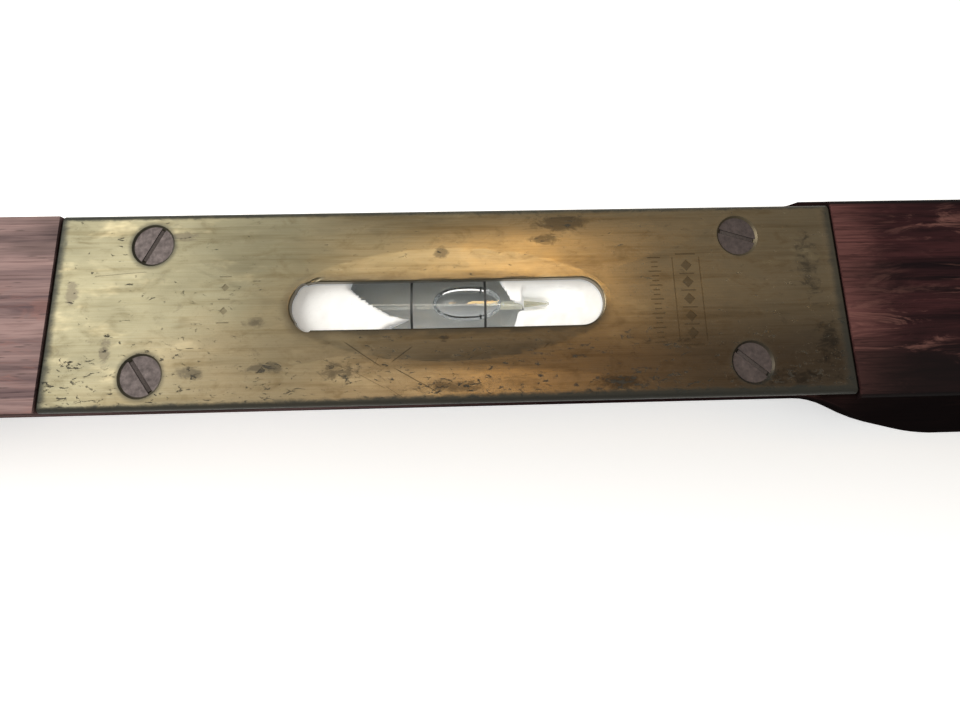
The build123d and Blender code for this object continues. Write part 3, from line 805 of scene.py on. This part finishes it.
def makeTopPlate():
    plate = meshObject("topPlate", cadCopy("top_plate"), [plateBrass, punchedBrass])
    bm = bmesh.new()
    line = platePunch["line"]
    # a short column of dashes and lozenges
    x = platePunch["leftColumn"]
    for y, kind in ((5.6, "dash"), (3.6, "lozenge"), (1.5, "dash"), (-0.6, "lozenge"), (-2.7, "dash")):
        if kind == "dash":
            bar(bm, x, y * mm, 2.1 * mm, line)
        else:
            bar(bm, x, y * mm, 1.0 * mm, 1.0 * mm, math.pi / 4)
    # a column of ticks, every third one long
    x = platePunch["tickColumn"]
    for number in range(19):
        long = 2.4 * mm if number % 3 == 0 else 1.3 * mm
        bar(bm, x, (number - 9) * 0.86 * mm, long, line)
    # a frame round a row of lozenges and bars
    x, (wide, tall) = platePunch["frameColumn"], platePunch["frameSize"]
    for side in (-1, 1):
        bar(bm, x + side * wide / 2, 0, line, tall - 1.2 * mm)
        bar(bm, x, side * tall / 2, wide - 1.2 * mm, line)
    for number in range(5):
        bar(bm, x, (number - 2) * 3.1 * mm, 1.5 * mm, 1.5 * mm, math.pi / 4)
    for number in range(4):
        bar(bm, x, (number - 1.5) * 3.1 * mm, 2.8 * mm, line)
    carve(plate, cutterFrom("marks", bm))
    # long scratches, and the chipped corner of the slot
    bm = bmesh.new()
    for x, y, length, turn in platePunch["scratches"]:
        bar(bm, x * mm, y * mm, length * mm, 0.13 * mm, math.radians(turn), 0.05 * mm)
    carve(plate, cutterFrom("scratches", bm))
    bm = bmesh.new()
    where = Matrix.Translation((-25.2 * mm, 4.5 * mm, plateTop + 0.1 * mm)) @ Matrix.Rotation(0.45, 4, "Z")
    flare = where @ Matrix.Diagonal((1.7 * mm, 0.6 * mm, 0.36 * mm, 1))
    bmesh.ops.create_icosphere(bm, subdivisions=3, radius=1.0, matrix=flare)
    for x, y, long, short, turn in platePunch["chips"]:
        where = Matrix.Translation((x * mm, y * mm, plateTop - 1 * mm)) @ Matrix.Rotation(math.radians(turn), 4, "Z")
        chip = where @ Matrix.Diagonal((long * mm, short * mm, 4 * mm, 1))
        bmesh.ops.create_icosphere(bm, subdivisions=3, radius=1.0, matrix=chip)
    carve(plate, cutterFrom("chip", bm))
    for face in plate.data.polygons:
        middle = face.center
        deep = plateTop - middle.z
        marked = min(abs(deep - platePunch["depth"]), abs(deep - 0.05 * mm)) < 0.002 * mm
        face.material_index = 1 if marked and face.normal.z > 0.9999 else 0
    plate.data.shade_smooth()
    softEdges(plate, 24)
    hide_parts("top_plate")


slotDirt = {"length": 6.3 * mm, "width": 0.74 * mm, "depth": 0.5 * mm, "under": 0.10 * mm}


# packed dirt in the four plate screws' slots
def makeSlotDirt():
    bm = bmesh.new()
    top = screwsHigh.z - slotDirt["under"]
    turns = (-54.0, 63.0, -40.0, -17.0)
    for (x, y), turn in zip(screwPlaces, turns):
        where = Matrix.Translation((x, y, top - slotDirt["depth"] / 2)) @ Matrix.Rotation(math.radians(turn), 4, "Z")
        size = Matrix.Diagonal((slotDirt["length"], slotDirt["width"], slotDirt["depth"], 1))
        bmesh.ops.create_cube(bm, size=1.0, matrix=where @ size)
    bmesh.ops.bevel(bm, geom=bm.edges[:], offset=0.06 * mm, segments=2, affect="EDGES", profile=0.5, material=-1)
    dirt = meshObject("plateScrewSlotDirt", bm, [packedDirt])


boreEnd = makeLevelVial()
makeBubble("levelBubble", bubbleLow, bubbleHigh, False, "level_bubble_body", "level_bubble")
makeSealAndStreak(boreEnd)
makePlumbVial()
makeBubble("plumbBubble", *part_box("plumb_bubble"), True, "plumb_bubble_body", "plumb_bubble")
print("level vial made")
makeLevelPlaster()
print("plaster made")
makeTopPlate()
makeSlotDirt()
print("top plate punched")


view = {
    "from": (0.4 * mm, -19.1 * mm, 130.3 * mm),  # from the middle of the plate's face
    "turn": (0.28780, -0.02950, -0.02409),
    "lens": 27.0,
    "shiftY": -0.1677,
}


def makeCamera():
    data = bpy.data.cameras.new("benchCamera")
    data.lens = view["lens"]
    data.sensor_width = 36.0
    data.shift_y = view["shiftY"]
    data.clip_start = 0.005
    camera = bpy.data.objects.new("benchCamera", data)
    camera.location = Vector(view["from"]) + Vector((0, 0, plateTop))
    camera.rotation_euler = view["turn"]
    bpy.context.scene.collection.objects.link(camera)
    bpy.context.scene.camera = camera


def makeFloor():
    mesh = bpy.data.meshes.new("paleFloor")
    bm = bmesh.new()
    bmesh.ops.create_grid(bm, x_segments=1, y_segments=1, size=6.0)
    bm.to_mesh(mesh)
    bm.free()
    floor = bpy.data.objects.new("paleFloor", mesh)
    bpy.context.scene.collection.objects.link(floor)
    s = Shade("palePaper")
    s.set(Base_Color=(0.93, 0.93, 0.92), Roughness=0.9, Emission_Color=(1, 1, 1), Emission_Strength=0.5)
    mesh.materials.append(s.material)


def makeLight(name, place, aim, size, power, colour=(1, 1, 1)):
    data = bpy.data.lights.new(name, "AREA")
    data.shape = "RECTANGLE"
    data.size, data.size_y = size
    data.energy = power
    data.color = colour
    light = bpy.data.objects.new(name, data)
    light.location = place
    light.rotation_euler = (Vector(aim) - Vector(place)).to_track_quat("-Z", "Y").to_euler()
    bpy.context.scene.collection.objects.link(light)


def makeWorld(strength):
    world = bpy.data.worlds.new("studio")
    world.use_nodes = True
    background = world.node_tree.nodes["Background"]
    background.inputs["Color"].default_value = (0.95, 0.97, 1.0, 1)
    background.inputs["Strength"].default_value = strength
    bpy.context.scene.world = world


makeCamera()
makeFloor()
makeWorld(0.32)
makeLight("windowLeft", (-0.48, 0.14, 0.46), (-0.06, 0, 0.07), (0.5, 0.6), 5.0, (1.0, 0.99, 0.95))
makeLight("warmLamp", (0.050, 0.006, 0.62), (0.012, 0.01, 0.075), (0.08, 0.04), 0.22, (1.0, 0.60, 0.18))
makeLight("softStrip", (-0.03, -0.05, 0.70), (-0.01, 0, 0.075), (0.30, 0.05), 0.30, (1.0, 0.95, 0.82))
bpy.context.scene.view_settings.view_transform = "Standard"
print("camera, floor and lights placed")
